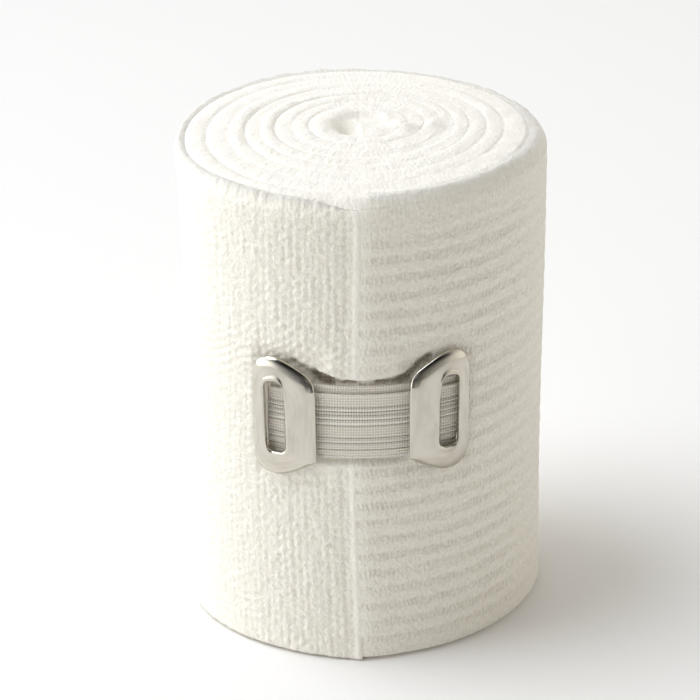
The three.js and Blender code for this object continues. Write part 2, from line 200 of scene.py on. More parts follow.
# Fineness of the roll's mesh
COLUMNS = {"count": 360, "closeness": 0.5, "closest": 0.93}
WALL_STEPS = [(FOOT_SHOULDER, 45, 0.43), (45, 52, 0.27), (52, BANDAGE_WIDTH - TOP_SHOULDER, 0.42)]
TOP_SHARES = [0.1, 0.28, 0.5, 0.72, 0.88, 0.96]
FOOT_SHARES = [0.5]

# Crests of the turns at the top: the arch is fuller inside than at the rim, and a crest narrower
# than FULL_CREST is lower
CREST_POWER = {"inside": 0.44, "rim": 0.85, "blend": 14}
FULL_CREST = 1.9

# Soft key light at the left, and the studio's brightness and tint by direction: "overhead" is
# where the sides give way to the top, "behind" where the top sets in, and "tinted" where cool
# turns to warm
KEY = {
    "place": (-0.39, 0.02, 0.86), "aim": (0, 0, 0.04), "size": 0.6, "power": 4.65,
    "colour": (0.94, 0.985, 1.07),
}
SKY = {
    "left": 2.65, "right": 1.1, "front": 0.1, "rear": 1.0, "top": 0.44,
    "overhead": (0.35, 0.9), "behind": (-0.45, 0.05), "tinted": (-0.3, 0.3),
    "cool": (0.98, 0.99, 1.0), "warm": (1.0, 0.972, 0.915),
}
FLOOR = {"half": 3, "colour": (0.915, 0.90, 0.875), "roughness": 0.6}

# Camera at the photograph's place
VIEW = {
    "elevation": 25.23, "roll": 1.2, "distance": 0.48365, "aim_height": 0.0375,
    "lens": 160.68, "sensor": 36, "shift_x": -14.2 / 700, "shift_y": 7.2 / 700,
    "near": 0.01,
}


def smooth(value, low, high):
    """0 up to low, 1 from high on, and an even bend between."""
    share = np.clip((value - low) / (high - low), 0, 1)
    return share * share * (3 - 2 * share)


def lerp(low, high, share):
    """Value between two, by a share from 0 to 1."""
    return low + (high - low) * share


def soft_span(distance, half, edge):
    """1 within half of the middle, falling to 0 over the edge."""
    return 1 - smooth(np.abs(distance), half, half + edge)


def half_turn(bearing):
    """The same bearing, from -180 to 180."""
    return (bearing + 900) % 360 - 180


class Noise:
    """Smooth random values from 0 to 1 over a plane, the same in every run."""

    SIZE = 256

    def __init__(self, seed):
        self.table = np.random.default_rng(seed).random((self.SIZE, self.SIZE))

    def at(self, x, y):
        column, row = np.floor(x).astype(int), np.floor(y).astype(int)
        across, up = smooth(x - column, 0, 1), smooth(y - row, 0, 1)

        def corner(i, j):
            return self.table[(row + j) % self.SIZE, (column + i) % self.SIZE]

        low = lerp(corner(0, 0), corner(1, 0), across)
        high = lerp(corner(0, 1), corner(1, 1), across)
        return lerp(low, high, up)


DRIFT, KINK, PATCH, YARN, RIM_NOISE = (Noise(seed) for seed in (11, 12, 13, 14, 15))


# Shape of the wound cloth

def lean_shift(z):
    return LEAN["shift"] * (smooth(z, 0, LEAN["top"]) - 0.5)


def place(radius, bearing, z):
    angle = np.radians(bearing)
    x = radius * np.sin(angle) + lean_shift(z)
    return np.stack(np.broadcast_arrays(x, -radius * np.cos(angle), z), axis=-1)


def seam_bearing(z):
    heights, bearings = np.array(SEAM).T
    above = np.clip(np.searchsorted(heights, z), 1, len(SEAM) - 1)
    share = smooth(z, heights[above - 1], heights[above])
    return lerp(bearings[above - 1], bearings[above], share)


def plan_radius(bearing):
    waves = (w["height"] * np.cos(np.radians(w["waves"] * (bearing - w["crest"]))) for w in PLAN_WAVES)
    return ROLL_RADIUS + sum(waves)


def soft_patch(patch, bearing, z):
    degree = math.radians(ROLL_RADIUS)
    across = (half_turn(bearing) - patch["bearing"]) * degree
    along_wall = soft_span(across, patch["half_width"] * degree, patch["edge"])
    return along_wall * soft_span(z - patch["z"], patch["half_height"], patch["edge"])


def dent_depth(bearing, z):
    return sum(dent["depth"] * soft_patch(dent, bearing, z) for dent in DENTS)


def fold_share(bearing, z, key):
    """The folds' depth, or the strength of the painted shade inside them."""
    most = 0
    for fold in FOLDS:
        across = distance_to_line(fold["line"], bearing, z)
        share = 1 - smooth(across, fold["half"], fold["half"] + fold["edge"])
        most = np.maximum(most, fold[key] * share)
    return most


def distance_to_line(line, bearing, z):
    """Distance over the wall, in millimetres, to a line of bearings and heights."""
    degree = math.radians(ROLL_RADIUS)
    x, best = half_turn(bearing) * degree, 1e9
    for (start, low), (end, high) in zip(line, line[1:]):
        start, end = start * degree, end * degree
        length_squared = (end - start) ** 2 + (high - low) ** 2
        along = ((x - start) * (end - start) + (z - low) * (high - low)) / length_squared
        along = np.clip(along, 0, 1)
        best = np.minimum(best, np.hypot(x - lerp(start, end, along), z - lerp(low, high, along)))
    return best


def pressed_share(bearing, z):
    """1 on the band of cloth that the strip presses in; its upper edge rises towards the plates."""
    beside = half_turn(bearing) - PRESSED["bearing"]
    aside = np.minimum(1, np.abs(beside) / PRESSED_FLARE["bearing"])
    above = np.maximum(0, z - PRESSED["z"])
    stretch = 1 + PRESSED_FLARE["height"] * aside**2 / PRESSED["half_height"]
    lifted = np.where(above > 0, above / stretch, 0)
    return soft_patch(PRESSED, bearing, np.where(above > 0, PRESSED["z"] + lifted, z))


def elastic_back(bearing):
    share = np.clip((half_turn(bearing) - ELASTIC["start"]) / (ELASTIC["end"] - ELASTIC["start"]), 0, 1)
    return lerp(ELASTIC["left_radius"], ELASTIC["right_radius"], share)


def ridge_height(turned, z):
    """Thickened cloth along the loose end, and a slight swell just past it."""
    share = np.clip((360 - turned) / SEAM_RIDGE["width"], 0, 1)
    tip = SEAM_TIP["height"] * (1 - smooth(z, 0, SEAM_TIP["reach"]))
    start = SEAM_RIDGE["start"]
    ridge = (SEAM_RIDGE["height"] + tip) * np.sin(math.pi * lerp(start, 1, share ** SEAM_RIDGE["skew"]))
    return ridge + SEAM_SWELL["height"] * (1 - smooth(turned, 0, SEAM_SWELL["reach"]))


def row_relief(turned, z):
    strength = lerp(1, ROWS_FADE["least"], smooth(turned, ROWS_FADE["start"], ROWS_FADE["end"]))
    top = ROWS["first"] + ROWS["count"] * ROWS["pitch"]
    wave = np.cos(2 * math.pi * (np.clip(z, ROWS["first"], top) - ROWS["first"]) / ROWS["pitch"])
    return -ROWS["relief"] * strength * wave


def open_wall(bearing, turned, z):
    waist = WAIST * np.sin(math.pi * z / BANDAGE_WIDTH)
    beside = half_turn(bearing) - RIM_FLARE["bearing"]
    aside = soft_span(beside, RIM_FLARE["half_width"], RIM_FLARE["edge"])
    reach = smooth(z, BANDAGE_WIDTH - RIM_FLARE["reach"], BANDAGE_WIDTH)
    near_rim = np.clip((z - BANDAGE_WIDTH) / RIM_ROUND["reach"] + 1, 0, 1)
    waist = waist + RIM_ROUND["depth"] * near_rim**2
    step = SEAM_STEP * (turned / 360 - 0.5)
    return plan_radius(bearing) + step - waist + RIM_FLARE["height"] * aside * reach


def wall_radius(bearing, turned, z):
    free = open_wall(bearing, turned, z) - dent_depth(bearing, z)
    free = free + ridge_height(turned, z) + row_relief(turned, z)
    pressed = elastic_back(bearing) - ELASTIC["seat"] + PRESSED_LAP * turned / 360
    wall = lerp(free, pressed, pressed_share(bearing, z))
    return wall - fold_share(bearing, z, "depth")


def turned_at(bearing, z):
    past = bearing - seam_bearing(z)
    return np.where(past > 0, past, past + 360)


def rim_rise(bearing):
    return RIM_WAVE["height"] * np.cos(np.radians(RIM_WAVE["waves"] * (bearing - RIM_WAVE["crest"])))


def mound_height(x, y):
    total = 0
    for middle_x, middle_y, reach_x, reach_y, height in MOUNDS:
        distance = np.hypot((x - middle_x) / reach_x, (y - middle_y) / reach_y)
        total = total + height * (1 - smooth(distance, 0, 1))
    return total


def top_level(radius, bearing):
    share = np.minimum(1, radius / ROLL_RADIUS) ** 2
    return BANDAGE_WIDTH + CORE_RISE * (1 - share) + rim_rise(bearing) * share


# Crinkles of the crepe: u runs along the bandage and v across its width, in millimetres

STRANDS = {
    "pitch": 1.13, "height": 0.4, "wander": 0.3, "wave": 1.3, "reach": 0.66, "shuffle": 0.22,
    "loop": 1.415, "loop_depth": 0.4, "zigzag": 0.17, "jitter": 1.1,
}
TEETH = {
    "pitch": 0.9, "height": 0.27, "wander": 0.35, "wave": 1.4, "reach": 0.8, "shuffle": 0.3,
    "loop": 1.5, "loop_depth": 0.25, "zigzag": 0.1, "jitter": 2,
}

# How relaxed the cloth is round the last turn, where its strands fade, and its plainer margins
RELAXED = {"start": 200, "end": 290, "least": 0.07}
STRANDS_FADE = {"start": 292, "end": 340, "least": 0.45, "most": 1.12, "ridge": 0.8}
MARGINS = {"foot": 2.5, "top": 70.5, "top_end": 73, "least": 0.6}
STRAND_BASE = 0.6
LOOP_NOISE = {"jitter_reach": 4.0, "bead_reach": 1.3, "bead": 0.5}
FINE_CRINKLE = {"height": 0.08, "wide": 1.3, "tall": 1.1}
CREST_LUMPS = {"height": 0.26, "wide": 2.2, "tall": 1.6}
CREST_UNEVEN = {"height": 0.4, "wide": 21, "row": 3}

# The map's heights above the wall: a crest runs over "across" from its outer edge at "top"
CLOTH_MAP = {"top": 74, "across": 3, "core": 80, "core_length": 20}


def relaxed_share(turned):
    """1 where the cloth is relaxed and crinkled, 0 where it is drawn smooth."""
    return smooth(turned, RELAXED["start"], RELAXED["end"]) * (1 - RELAXED["least"]) + RELAXED["least"]


def strands(u, v, kind):
    """Crests of looped strands that stand side by side, each wriggling along the width.

    The odd factors of k give each strand its own column of noise.
    """
    nearest, best = np.floor(u / kind["pitch"]), 0
    for step in (-1, 0, 1):
        k = nearest + step
        wander = kind["wander"] * (KINK.at(k * 7.7, v / kind["wave"]) - 0.5)
        shuffle = kind["shuffle"] * (DRIFT.at(k * 3.3, v * 0) - 0.5)
        jitter = kind["jitter"] * (PATCH.at(k * 4.7, v / LOOP_NOISE["jitter_reach"]) - 0.5) + 0.5 * k
        phase = 2 * math.pi * ((v - ROWS["first"]) / kind["loop"] + jitter)
        offset = u / kind["pitch"] - (k + 0.5 + shuffle) - wander - kind["zigzag"] * np.sin(phase)
        uneven = LOOP_NOISE["bead"] * (PATCH.at(k * 5.3, v / LOOP_NOISE["bead_reach"]) - 0.5)
        bead = 1 + kind["loop_depth"] * (np.cos(phase) - 1) + uneven
        best = np.maximum(best, (1 - (offset / kind["reach"]) ** 2) * bead)
    return best


def wall_crinkle(turned, u, v):
    """Height of the strands, lower at the margins and none on the ridge, and of fine crinkles."""
    above_foot = smooth(v, 0, MARGINS["foot"])
    share = lerp(MARGINS["least"], 1, above_foot * (1 - smooth(v, MARGINS["top"], MARGINS["top_end"])))
    fade, ridge = STRANDS_FADE, 360 - SEAM_RIDGE["width"]
    share = share * lerp(fade["least"], fade["most"], smooth(turned, fade["start"], fade["end"]))
    share = share * (1 - smooth(turned, ridge, ridge + fade["ridge"]))
    height = STRANDS["height"] * (strands(u, v, STRANDS) - STRAND_BASE) * relaxed_share(turned) * share
    fine = YARN.at(u / FINE_CRINKLE["wide"], v / FINE_CRINKLE["tall"]) - 0.5
    return height + FINE_CRINKLE["height"] * fine


def map_points(u, v):
    """Points of the cloth's map, where either value may be a single one."""
    return np.stack(np.broadcast_arrays(u, v), axis=1)


class Surface:
    """Collects points, faces and texture coordinates of one closed surface."""

    def __init__(self):
        self.points, self.pattern, self.hollow, self.faces, self.uvs = [], [], [], [], []
        self.count = 0

    def add(self, points, pattern=1.0, hollow=0.0):
        points = np.atleast_2d(points)
        self.points.append(points)
        self.pattern.append(np.broadcast_to(pattern, len(points)))
        self.hollow.append(np.broadcast_to(hollow, len(points)))
        self.count += len(points)
        return np.arange(self.count - len(points), self.count)

    def at(self, index):
        return np.concatenate(self.points)[index]

    def strip(self, inner, outer, inner_uv, outer_uv):
        quads = np.stack([inner[:-1], outer[:-1], outer[1:], inner[1:]], axis=1)
        corners = np.stack([inner_uv[:-1], outer_uv[:-1], outer_uv[1:], inner_uv[1:]], axis=1)
        self.faces.append(quads)
        self.uvs.append(corners)

    def join(self, lines, maps, flipped=False):
        """Strips between neighbouring lines."""
        for i in range(len(lines) - 1):
            first, second = (i + 1, i) if flipped else (i, i + 1)
            self.strip(lines[first], lines[second], maps[first], maps[second])

    def fan(self, centre, line, uv=(0, 0)):
        triangles = [(centre, line[i], line[i + 1]) for i in range(len(line) - 1)]
        self.faces.append(np.array(triangles))
        self.uvs.append(np.broadcast_to(uv, (len(triangles), 3, 2)))

    def mesh(self, name):
        mesh = bpy.data.meshes.new(name)
        faces = [face for block in self.faces for face in block.tolist()]
        mesh.from_pydata((np.concatenate(self.points) * MM).tolist(), [], faces)
        layer = mesh.uv_layers.new(name="ClothMap")
        layer.data.foreach_set("uv", np.concatenate([uv.reshape(-1) for uv in self.uvs]))
        for label, values in (("pattern", self.pattern), ("hollow", self.hollow)):
            attribute = mesh.attributes.new(label, "FLOAT", "POINT")
            attribute.data.foreach_set("value", np.concatenate(values).astype(np.float32))
        mesh.polygons.foreach_set("use_smooth", [True] * len(mesh.polygons))
        mesh.update()
        return mesh


def column_angles():
    """Angles of the columns, closest together on the relaxed cloth before the loose end."""
    share, full = np.linspace(0, 1, COLUMNS["count"] + 1), 2 * math.pi
    crowd = np.sin(full * (share - COLUMNS["closest"])) + math.sin(full * COLUMNS["closest"])
    return 360 * (share - COLUMNS["closeness"] * crowd / full)


TURNED = column_angles()
PER_TURN = COLUMNS["count"]


def through_knots(knots, position):
    """Value of a smooth curve through evenly spaced knots."""
    knots = np.array(knots)
    i = np.clip(np.floor(position).astype(int), 0, len(knots) - 2)
    t = position - i
    slope_in = (knots[i + 1] - knots[np.maximum(i - 1, 0)]) / 2
    slope_out = (knots[np.minimum(i + 2, len(knots) - 1)] - knots[i]) / 2
    rise = (2 * t**3 - 3 * t**2 + 1) * knots[i] + (t**3 - 2 * t**2 + t) * slope_in
    return rise + (3 * t**2 - 2 * t**3) * knots[i + 1] + (t**3 - t**2) * slope_out


def wall_points(turned, z):
    bearing = seam_bearing(z) + turned - 360
    u = np.radians(turned) * ROLL_RADIUS
    radius = wall_radius(bearing, turned, z)
    covered = soft_patch(PRESSED, bearing, z + COVERED)
    radius = radius + wall_crinkle(turned, u, z) * (1 - covered)
    raised = z + rim_rise(bearing) * smooth(z, RIM_WAVE["start"], BANDAGE_WIDTH)
    points = place(radius, bearing, z)
    points[..., 2] = raised
    return points


def spiral_groove():
    """Radius, depth and angle of the groove, from the core to the start of the last turn."""
    radii = [radius for turn in TURNS for radius in turn["radius"]]
    depths = [depth for turn in TURNS for depth in turn["groove"]]
    outside = wall_points(np.array([0.0]), np.array([BANDAGE_WIDTH - TOP_SHOULDER]))[0]
    radii.append(math.hypot(outside[0], outside[1]))
    depths.append(TOP_SHOULDER)
    step = np.arange(len(TURNS) * PER_TURN)
    turn, turned = step // PER_TURN, TURNED[step % PER_TURN]
    position = 4 * (turn + turned / 360)
    fade = 1 - smooth(turned, LAST_GROOVE_FADE["start"], LAST_GROOVE_FADE["end"])
    last, tail = turn == len(TURNS) - 1, LAST_GROOVE_TAIL
    inset = tail["inset"] * smooth(turned, tail["start"], tail["full"])
    inset = inset * (1 - smooth(turned, tail["out"], 360))
    down = TOP_SHOULDER / GROOVE_SHARE * smooth(turned, tail["down"], 360)
    depth = through_knots(depths, position)
    depth = np.where(last, depth * fade + down, depth)
    return through_knots(radii, position) - np.where(last, inset, 0), depth, turned


def roll_end(surface, wall_edge, end):
    """One end of the roll: the groove line, and the rows of each layer's crest."""
    radius, depth, turned = spiral_groove()
    bearing = seam_bearing(np.full_like(turned, end["seam_z"])) + turned
    grooves = surface.add(end["groove"](radius, depth, bearing))
    line = np.concatenate([grooves, wall_edge])
    last = len(TURNS) * PER_TURN
    inner, outer = surface.at(line[: last + 1]), surface.at(line[PER_TURN : PER_TURN + last + 1])
    length = np.linalg.norm(np.diff(outer, axis=0), axis=1)
    along = np.concatenate([[0], np.cumsum(length)])
    along = along - along[last - PER_TURN]
    lines, maps = [line[: last + 1]], [end["map"](along, 0)]
    for share in end["shares"]:
        lines.append(surface.add(end["crest"](inner, outer, share, along)))
        maps.append(end["map"](along, share))
    lines.append(line[PER_TURN : PER_TURN + last + 1])
    maps.append(end["map"](along, 1))
    surface.join(lines, maps, flipped=not end["is_top"])
    close_core(surface, line[: PER_TURN + 1], [row[0] for row in lines[1:-1]], end)
    return [row[last] for row in lines]


def close_core(surface, loop, end_rows, end):
    rim = surface.at(loop[:PER_TURN])
    rings = [loop]
    for share in end["core_shares"]:
        ring = surface.add(end["core"](rim, share))
        rings.append(np.append(ring, ring[0]))
    along = np.linspace(0, 1, PER_TURN + 1) * CLOTH_MAP["core_length"]
    for i in range(len(rings) - 1):
        pair = (rings[i + 1], rings[i]) if end["is_top"] else (rings[i], rings[i + 1])
        level = map_points(along, CLOTH_MAP["core"] + i)
        surface.strip(pair[0], pair[1], level, level)
    centre = surface.add(end["core"](rim[:1] * 0, 0.0))[0]
    order = slice(None) if end["is_top"] else slice(None, None, -1)
    surface.fan(centre, rings[-1][order], (0, CLOTH_MAP["core"]))
    cut = np.array([rings[1][0], loop[PER_TURN], *end_rows[::-1]])
    surface.fan(loop[0], cut[order], (0, CLOTH_MAP["core"]))


def top_end():
    floor = BANDAGE_WIDTH + CORE_RISE - CORE["depth"]

    def groove(radius, depth, bearing):
        points = place(radius, bearing, np.full_like(radius, BANDAGE_WIDTH))
        level = top_level(radius, bearing) + mound_height(points[:, 0], points[:, 1])
        points[:, 2] = level - depth * GROOVE_SHARE
        return points

    def crest(inner, outer, share, along):
        points = inner + (outer - inner) * share
        bearing = np.degrees(np.arctan2(points[:, 0], -points[:, 1]))
        level = top_level(np.hypot(points[:, 0], points[:, 1]), bearing)
        level = level + mound_height(points[:, 0], points[:, 1]) + crest_crinkle(along, share)
        at_rim = smooth(along, -CREST_POWER["blend"], -1) * (share > 0.5)
        power = lerp(CREST_POWER["inside"], CREST_POWER["rim"], at_rim)
        width = np.hypot(outer[:, 0] - inner[:, 0], outer[:, 1] - inner[:, 1])
        rise = smooth(width, 0, FULL_CREST) * math.sin(math.pi * share) ** power
        points[:, 2] = lerp(points[:, 2], level, rise)
        return points

    def core(rim, share):
        points = rim * share
        x, y = points[:, 0], points[:, 1]
        column, row = x / CORE["spot"] + CORE["offset"], y / CORE["spot"] + CORE["offset"]
        crumple = CORE["crumple"] * (RIM_NOISE.at(column, row) - 0.5)
        points[:, 2] = floor + mound_height(x, y) + crumple
        return points

    return {
        "is_top": True, "seam_z": float(BANDAGE_WIDTH), "shares": TOP_SHARES,
        "core_shares": CORE["rings"],
        "groove": groove, "crest": crest, "core": core,
        "map": lambda along, share: map_points(along, crest_across(share)),
    }


def crest_across(share):
    """The map's height on a crest."""
    return CLOTH_MAP["top"] + CLOTH_MAP["across"] * (1 - share)


def crest_crinkle(along, share):
    across = np.full_like(along, crest_across(share))
    lumps = RIM_NOISE.at(along / CREST_LUMPS["wide"], across / CREST_LUMPS["tall"]) - 0.5
    uneven = DRIFT.at(along / CREST_UNEVEN["wide"], across * 0 + CREST_UNEVEN["row"]) - 0.5
    teeth = TEETH["height"] * (strands(along, across, TEETH) - STRAND_BASE)
    return teeth + CREST_LUMPS["height"] * lumps + CREST_UNEVEN["height"] * uneven


def foot_end():
    def groove(radius, depth, bearing):
        points = place(radius, bearing, np.zeros_like(radius))
        points[:, 2] = np.minimum(1, depth) * FOOT_GROOVE["depth"]
        return points

    def crest(inner, outer, share, along):
        points = inner + (outer - inner) * share
        points[:, 2] = 0
        return points

    def core(rim, share):
        points = rim * share
        points[:, 2] = 0
        return points

    return {
        "is_top": False, "seam_z": 0.0, "shares": FOOT_SHARES, "core_shares": [0.5],
        "groove": groove, "crest": crest, "core": core,
        "map": lambda along, share: map_points(along, -FOOT_GROOVE["across"] * (1 - share)),
    }


def wall_heights():
    """Heights of the wall's rows, closest together beside the clip."""
    parts = [
        np.linspace(low, high, round((high - low) / step), endpoint=False)
        for low, high, step in WALL_STEPS
    ]
    return np.append(np.concatenate(parts), BANDAGE_WIDTH - TOP_SHOULDER)


def bandage_surface():
    surface = Surface()
    heights = wall_heights()
    rows, maps = [], []
    for z in heights:
        level = np.full_like(TURNED, z)
        # Strength of the painted shade inside the folds, kept on each point as "hollow"
        hollow = fold_share(seam_bearing(level) + TURNED - 360, level, "dark")
        rows.append(surface.add(wall_points(TURNED, level), relaxed_share(TURNED), hollow))
        maps.append(map_points(np.radians(TURNED) * ROLL_RADIUS, level))
    surface.join(rows, maps, flipped=True)
    top_cut = roll_end(surface, rows[-1], top_end())
    foot_cut = roll_end(surface, rows[0], foot_end())
    below, ridge = np.array([row[0] for row in rows]), np.array([row[-1] for row in rows])
    edge = map_points(0.0, heights)
    surface.strip(ridge, below, edge, edge)
    surface.fan(top_cut[0], top_cut[1:])
    surface.fan(foot_cut[0], foot_cut[1:][::-1])
    return surface


# Clip

# Webbing: raised cords, by height above the strip's foot, half width and relief, and the
# heights of its dotted grooves
CORDS = [
    (0.14, 0.2, 1.0), (1.72, 0.16, 0.7), (2.08, 0.16, 0.8), (2.67, 0.2, 1.0), (3.68, 0.18, 0.9),
    (5.66, 0.3, 1.3), (6.55, 0.24, 1.1), (7.22, 0.16, 0.8), (7.86, 0.22, 1.0),
]
GROOVES = [1.33, 2.37, 3.22, 5.24, 6.16, 6.94, 7.5, 8.2]
WEBBING = {
    "relief": 0.17, "groove": 0.15, "sink": 0.6, "edge": 0.14, "edge_half": 0.2,
    "rows": 150, "columns": 100,
}


def elastic_layer(name, top, out):
    """One layer of the strip, with its cords raised, as a closed sheet."""
    surface = Surface()
    bearings = np.linspace(ELASTIC["start"], ELASTIC["end"], WEBBING["columns"] + 1)
    heights = np.linspace(ELASTIC["foot"], top, WEBBING["rows"])
    thickness = ELASTIC["layer"] - 2 * ELASTIC["gap"]
    cords, grooves = webbing_profile(heights, top)
    relief = WEBBING["relief"] * (cords - WEBBING["sink"] * grooves - 1)
    pattern = np.concatenate([cords - grooves, np.zeros_like(heights)])
    rings, maps = [], []
    for bearing in bearings:
        back = elastic_back(bearing) + out
        front = place(back + thickness + relief, np.full_like(heights, bearing), heights)
        rear = place(np.full_like(heights, back), np.full_like(heights, bearing), heights)[::-1]
        ring = surface.add(np.concatenate([front, rear]), pattern)
        rings.append(np.append(ring, ring[0]))
        round_the_ring = np.concatenate([heights, heights[::-1], heights[:1]])
        maps.append(map_points(math.radians(bearing) * ROLL_RADIUS, round_the_ring))
    surface.join(rings, maps)
    count = len(heights)
    for ring, is_far in ((rings[0], False), (rings[-1], True)):
        front, rear = ring[:count], ring[count : 2 * count][::-1]
        cap = (front, rear) if is_far else (rear, front)
        level = map_points(0.0, heights)
        surface.strip(cap[0], cap[1], level, level)
    return surface.mesh(name)


def webbing_profile(heights, top):
    """Height of the cords and depth of the grooves between them, each from 0 to about 1."""
    above = heights - ELASTIC["foot"]
    cords, grooves = np.zeros_like(heights), np.zeros_like(heights)
    for z, half, relief in CORDS:
        cords = np.maximum(cords, relief * soft_span(above - z, 0, half))
    for z in GROOVES:
        grooves = np.maximum(grooves, soft_span(above - z, 0, WEBBING["groove"]))
    edge = soft_span(heights - (top - WEBBING["edge"]), 0, WEBBING["edge_half"])
    return np.maximum(cords, edge), grooves


def quadratic(start, bend, end, t):
    return (1 - t) ** 2 * start + 2 * (1 - t) * t * bend + t**2 * end


def spaced(points, count):
    """Evenly spaced points along a closed line."""
    closed = np.vstack([points, points[:1]])
    length = np.concatenate([[0], np.cumsum(np.linalg.norm(np.diff(closed, axis=0), axis=1))])
    wanted = np.linspace(0, length[-1], count, endpoint=False)
    return np.stack([np.interp(wanted, length, closed[:, i]) for i in range(2)], axis=1)


def plate_outline():
    pieces, t = [], np.linspace(0, 1, PLATE["bend_points"], endpoint=False)[:, None]
    start = PLATE_OUTLINE[-1][0]
    for end, bend in PLATE_OUTLINE:
        pieces.append(quadratic(np.array(start), np.array(bend), np.array(end), t))
        start = end
    return spaced(np.vstack(pieces), PLATE["samples"])


def slot_outline():
    corner = SLOT["corner"]
    centres = [
        (SLOT["right"] - corner, SLOT["top"] - corner), (SLOT["left"] + corner, SLOT["top"] - corner),
        (SLOT["left"] + corner, SLOT["foot"] + corner), (SLOT["right"] - corner, SLOT["foot"] + corner),
    ]
    line = [(SLOT["right"], 0.0)]
    for quarter, (x, y) in enumerate(centres):
        for angle in np.linspace(quarter, quarter + 1, SLOT["corner_points"]) * math.pi / 2:
            line.append((x + corner * math.cos(angle), y + corner * math.sin(angle)))
    return spaced(np.array(line), PLATE["samples"])


def rim_drop(edge):
    """How far the rim comes down: nearly to the cloth, and less where it crosses the strip."""
    open_side = 1 - smooth(edge[:, 0], RIM_DROP["side_start"], RIM_DROP["side_end"])
    beside = soft_span(edge[:, 1] - RIM_DROP["y"], RIM_DROP["half_height"], RIM_DROP["edge"])
    return lerp(RIM_DROP["cloth"], RIM_DROP["strip"], open_side * beside)


def plate_surface(seat):
    surface = Surface()
    rim, slot = plate_outline(), slot_outline()
    middle = PLATE["width"] / 2
    side = -1 if seat["mirrored"] else 1
    matrix = plate_matrix(seat)
    loops = []
    for share, below, drop, under in PLATE_SECTION:
        flat = lerp(slot, rim, share)
        bend = (flat[:, 0] - middle) ** 2 / (2 * PLATE["bow"])
        height = PLATE["crown"] - below - bend - drop * rim_drop(rim) - under
        local = np.stack([(flat[:, 0] - middle) * side, flat[:, 1], height], axis=1)
        points = local @ matrix[:3, :3].T + matrix[:3, 3]
        index = surface.add(points)
        loops.append(np.append(index, index[0]))
    u = np.linspace(0, PLATE["map"], PLATE["samples"] + 1)
    for i in range(len(loops)):
        inner, outer = loops[i], loops[(i + 1) % len(loops)]
        if seat["mirrored"]:
            inner, outer = outer, inner
        surface.strip(inner, outer, map_points(u, i), map_points(u, i + 1))
    return surface.mesh(seat["name"])


def plate_matrix(seat):
    """The plate's place: stood upright, spun and tilted, set out to the wall and turned round."""
    spin = math.radians(seat["turn"] * (-1 if seat["mirrored"] else 1))
    upright = (
        Matrix.Rotation(math.pi / 2, 4, "X") @ Matrix.Rotation(spin, 4, "Y")
        @ Matrix.Rotation(math.radians(seat["tilt"]), 4, "Z")
    )
    bearing, z = np.array([float(seat["bearing"])]), np.array([float(seat["z"])])
    radius = float(open_wall(bearing, turned_at(bearing, z), z)[0])
    moved = Matrix.Translation((0, -radius - seat["lift"], seat["z"])) @ upright
    return np.array(Matrix.Rotation(math.radians(seat["bearing"]), 4, "Z") @ moved)


# Materials

class Nodes:
    """Short calls that build the nodes of one material."""

    def __init__(self, name):
        self.material = bpy.data.materials.new(name)
        self.material.use_nodes = True
        self.tree = self.material.node_tree
        self.shader = self.tree.nodes["Principled BSDF"]
        uv = self.tree.nodes.new("ShaderNodeUVMap")
        uv.uv_map = "ClothMap"
        self.uv = uv.outputs["UV"]
        split = self.tree.nodes.new("ShaderNodeSeparateXYZ")
        self.tree.links.new(self.uv, split.inputs[0])
        self.u, self.v = split.outputs["X"], split.outputs["Y"]

    def do(self, operation, *values):
        return math_node(self.tree, operation, *values)

    def times(self, first, second):
        return self.do("MULTIPLY", first, second)

    def plus(self, first, second):
        return self.do("ADD", first, second)

    def step(self, value, low, high, start=0, end=1):
        return ramp(self.tree, value, low, high, start, end)

    def wave(self, value, pitch):
        """1 at every multiple of the pitch and 0 midway between."""
        cosine = self.do("COSINE", self.times(value, 2 * math.pi / pitch))
        return self.do("MULTIPLY_ADD", cosine, 0.5, 0.5)

    def about(self, value, middle, amount):
        """How far a value lies from its middle, times an amount."""
        return self.times(self.do("SUBTRACT", value, middle), amount)

    def eased(self, value, name):
        return self.step(value, *STEPS[name])

    def spots(self, name):
        return self.noise(*SPOTS[name])

    def noise(self, wide, tall, detail=1, seed=0):
        """Smooth random values whose spots are so many millimetres wide and tall."""
        place = self.tree.nodes.new("ShaderNodeCombineXYZ")
        self.tree.links.new(self.times(self.u, 1 / wide), place.inputs["X"])
        self.tree.links.new(self.times(self.v, 1 / tall), place.inputs["Y"])
        place.inputs["Z"].default_value = seed
        node = self.tree.nodes.new("ShaderNodeTexNoise")
        self.tree.links.new(place.outputs[0], node.inputs["Vector"])
        node.inputs["Scale"].default_value = 1
        node.inputs["Detail"].default_value = detail
        return node.outputs["Fac"]

    def attribute(self, name):
        node = self.tree.nodes.new("ShaderNodeAttribute")
        node.attribute_name = name
        return node.outputs["Fac"]

    def mix(self, share, first, second):
        """Colour between two, by a share from 0 to 1."""
        node = self.tree.nodes.new("ShaderNodeMix")
        node.data_type = "RGBA"
        node.clamp_factor = True
        self.tree.links.new(share, node.inputs["Factor"])
        for name, colour in (("A", first), ("B", second)):
            socket = next(i for i in node.inputs if i.name == name and i.type == "RGBA")
            if isinstance(colour, tuple):
                socket.default_value = (*colour, 1)
            else:
                self.tree.links.new(colour, socket)
        return next(o for o in node.outputs if o.type == "RGBA")

    def bump(self, height, normal=None):
        """Normal from a height in millimetres."""
        node = self.tree.nodes.new("ShaderNodeBump")
        node.inputs["Distance"].default_value = MM
        self.tree.links.new(height, node.inputs["Height"])
        if normal:
            self.tree.links.new(normal, node.inputs["Normal"])
        return node.outputs["Normal"]

    def set(self, **values):
        for name, value in values.items():
            socket = self.shader.inputs[name.replace("_", " ")]
            if hasattr(value, "links"):
                self.tree.links.new(value, socket)
            else:
                socket.default_value = value


